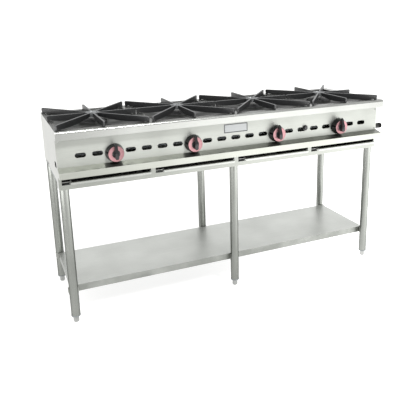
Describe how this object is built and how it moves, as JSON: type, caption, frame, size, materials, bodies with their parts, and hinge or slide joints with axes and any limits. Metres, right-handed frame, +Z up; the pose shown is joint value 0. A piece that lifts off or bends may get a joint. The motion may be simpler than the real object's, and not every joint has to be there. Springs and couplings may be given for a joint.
{
  "type": "commercial gas boiling table",
  "caption": "In-line commercial gas range on a tubular stand: open burners with cast pan supports, knobs, drip trays and an undershelf.",
  "frame": {"origin": "centre of the whole object's box in plan, on the floor", "axes": "+X along the row of burners to the gas inlet end, +Y to the back, +Z up"},
  "size_m": [1.646, 0.52, 0.883],
  "materials": {
    "stainless_sheet": "fine brushed grain along the sheet",
    "stainless_tube": "satin polished tube",
    "galvanised_steel": "dull zinc",
    "cast_iron": "rough black cast iron",
    "spill_enamel": "dark sheet, dulled by heat",
    "knob_black": "semi-gloss black",
    "knob_ring": "red anodised ring",
    "brass": "machined",
    "black_pipe": "black painted pipe",
    "black_plastic": "moulded",
    "steel_rod": "turned"
  },
  "bodies": {
    "stand_and_casing": {"top_plate": "stainless_sheet", "left_side": "stainless_sheet", "right_side": "stainless_sheet", "back_panel": "stainless_sheet", "control_panel": "stainless_sheet", "front_ledge": "stainless_sheet", "front_rail": "stainless_sheet", "front_bearer": "galvanised_steel", "back_bearer": "galvanised_steel", "side_bearers": "galvanised_steel", "tray_guides": "galvanised_steel", "undershelf": "stainless_sheet", "shelf_clips": "stainless_tube", "leg_inserts": "stainless_tube", "spill_bowls": "spill_enamel", "burner_bases": "cast_iron", "burner_bearers": "galvanised_steel", "manifold": "black_pipe", "manifold_plug": "black_pipe", "manifold_brackets": "galvanised_steel", "gas_taps": "brass", "igniter_body": "black_plastic", "leg_1": "stainless_tube", "leg_2": "stainless_tube", "leg_3": "stainless_tube", "leg_4": "stainless_tube", "leg_5": "stainless_tube", "leg_6": "stainless_tube"},
    "igniter_button": {"igniter_button": "black_plastic"},
    "foot_1": {"foot_1": "stainless_tube"},
    "foot_2": {"foot_2": "stainless_tube"},
    "foot_3": {"foot_3": "stainless_tube"},
    "foot_4": {"foot_4": "stainless_tube"},
    "foot_5": {"foot_5": "stainless_tube"},
    "foot_6": {"foot_6": "stainless_tube"},
    "drip_tray_1": {"drip_tray_1": "stainless_sheet"},
    "pan_support_1": {"pan_support_1": "cast_iron"},
    "burner_head_1": {"burner_head_1": "cast_iron"},
    "tap_spindle_1": {"tap_spindle_1": "steel_rod"},
    "knob_1": {"knob_1": "knob_black", "knob_face_1": "knob_ring"},
    "drip_tray_2": {"drip_tray_2": "stainless_sheet"},
    "pan_support_2": {"pan_support_2": "cast_iron"},
    "burner_head_2": {"burner_head_2": "cast_iron"},
    "tap_spindle_2": {"tap_spindle_2": "steel_rod"},
    "knob_2": {"knob_2": "knob_black", "knob_face_2": "knob_ring"},
    "drip_tray_3": {"drip_tray_3": "stainless_sheet"},
    "pan_support_3": {"pan_support_3": "cast_iron"},
    "burner_head_3": {"burner_head_3": "cast_iron"},
    "tap_spindle_3": {"tap_spindle_3": "steel_rod"},
    "knob_3": {"knob_3": "knob_black", "knob_face_3": "knob_ring"},
    "drip_tray_4": {"drip_tray_4": "stainless_sheet"},
    "pan_support_4": {"pan_support_4": "cast_iron"},
    "burner_head_4": {"burner_head_4": "cast_iron"},
    "tap_spindle_4": {"tap_spindle_4": "steel_rod"},
    "knob_4": {"knob_4": "knob_black", "knob_face_4": "knob_ring"}
  },
  "joints": [
    {"name": "foot_1_screw", "type": "slide", "parent": "stand_and_casing", "child": "foot_1", "axis": [0, 0, -1], "range_m": [0, 0.02]},
    {"name": "foot_2_screw", "type": "slide", "parent": "stand_and_casing", "child": "foot_2", "axis": [0, 0, -1], "range_m": [0, 0.02]},
    {"name": "foot_3_screw", "type": "slide", "parent": "stand_and_casing", "child": "foot_3", "axis": [0, 0, -1], "range_m": [0, 0.02]},
    {"name": "foot_4_screw", "type": "slide", "parent": "stand_and_casing", "child": "foot_4", "axis": [0, 0, -1], "range_m": [0, 0.02]},
    {"name": "foot_5_screw", "type": "slide", "parent": "stand_and_casing", "child": "foot_5", "axis": [0, 0, -1], "range_m": [0, 0.02]},
    {"name": "foot_6_screw", "type": "slide", "parent": "stand_and_casing", "child": "foot_6", "axis": [0, 0, -1], "range_m": [0, 0.02]},
    {"name": "tray_1_slide", "type": "slide", "parent": "stand_and_casing", "child": "drip_tray_1", "axis": [0, -1, 0], "range_m": [0, 0.35]},
    {"name": "support_1_lift", "type": "slide", "parent": "stand_and_casing", "child": "pan_support_1", "axis": [0, 0, 1], "range_m": [0, 0.06]},
    {"name": "head_1_lift", "type": "slide", "parent": "stand_and_casing", "child": "burner_head_1", "axis": [0, 0, 1], "range_m": [0, 0.01]},
    {"name": "tap_1_turn", "type": "hinge", "parent": "stand_and_casing", "child": "tap_spindle_1", "pos_m": [-0.589, -0.214, 0.746], "axis": [0, -1, 0], "range_deg": [0, 180]},
    {"name": "knob_1_push", "type": "slide", "parent": "tap_spindle_1", "child": "knob_1", "axis": [0, 1, 0], "range_m": [0, 0.003], "stiffness_N_per_m": 1500, "springref_m": -0.002},
    {"name": "tray_2_slide", "type": "slide", "parent": "stand_and_casing", "child": "drip_tray_2", "axis": [0, -1, 0], "range_m": [0, 0.35]},
    {"name": "support_2_lift", "type": "slide", "parent": "stand_and_casing", "child": "pan_support_2", "axis": [0, 0, 1], "range_m": [0, 0.06]},
    {"name": "head_2_lift", "type": "slide", "parent": "stand_and_casing", "child": "burner_head_2", "axis": [0, 0, 1], "range_m": [0, 0.01]},
    {"name": "tap_2_turn", "type": "hinge", "parent": "stand_and_casing", "child": "tap_spindle_2", "pos_m": [-0.2415, -0.214, 0.746], "axis": [0, -1, 0], "range_deg": [0, 180]},
    {"name": "knob_2_push", "type": "slide", "parent": "tap_spindle_2", "child": "knob_2", "axis": [0, 1, 0], "range_m": [0, 0.003], "stiffness_N_per_m": 1500, "springref_m": -0.002},
    {"name": "tray_3_slide", "type": "slide", "parent": "stand_and_casing", "child": "drip_tray_3", "axis": [0, -1, 0], "range_m": [0, 0.35]},
    {"name": "support_3_lift", "type": "slide", "parent": "stand_and_casing", "child": "pan_support_3", "axis": [0, 0, 1], "range_m": [0, 0.06]},
    {"name": "head_3_lift", "type": "slide", "parent": "stand_and_casing", "child": "burner_head_3", "axis": [0, 0, 1], "range_m": [0, 0.01]},
    {"name": "tap_3_turn", "type": "hinge", "parent": "stand_and_casing", "child": "tap_spindle_3", "pos_m": [0.1755, -0.214, 0.746], "axis": [0, -1, 0], "range_deg": [0, 180]},
    {"name": "knob_3_push", "type": "slide", "parent": "tap_spindle_3", "child": "knob_3", "axis": [0, 1, 0], "range_m": [0, 0.003], "stiffness_N_per_m": 1500, "springref_m": -0.002},
    {"name": "tray_4_slide", "type": "slide", "parent": "stand_and_casing", "child": "drip_tray_4", "axis": [0, -1, 0], "range_m": [0, 0.35]},
    {"name": "support_4_lift", "type": "slide", "parent": "stand_and_casing", "child": "pan_support_4", "axis": [0, 0, 1], "range_m": [0, 0.06]},
    {"name": "head_4_lift", "type": "slide", "parent": "stand_and_casing", "child": "burner_head_4", "axis": [0, 0, 1], "range_m": [0, 0.01]},
    {"name": "tap_4_turn", "type": "hinge", "parent": "stand_and_casing", "child": "tap_spindle_4", "pos_m": [0.523, -0.214, 0.746], "axis": [0, -1, 0], "range_deg": [0, 180]},
    {"name": "knob_4_push", "type": "slide", "parent": "tap_spindle_4", "child": "knob_4", "axis": [0, 1, 0], "range_m": [0, 0.003], "stiffness_N_per_m": 1500, "springref_m": -0.002},
    {"name": "igniter_push", "type": "slide", "parent": "stand_and_casing", "child": "igniter_button", "axis": [0, 1, 0], "range_m": [0, 0.005], "stiffness_N_per_m": 900, "springref_m": -0.001}
  ]
}
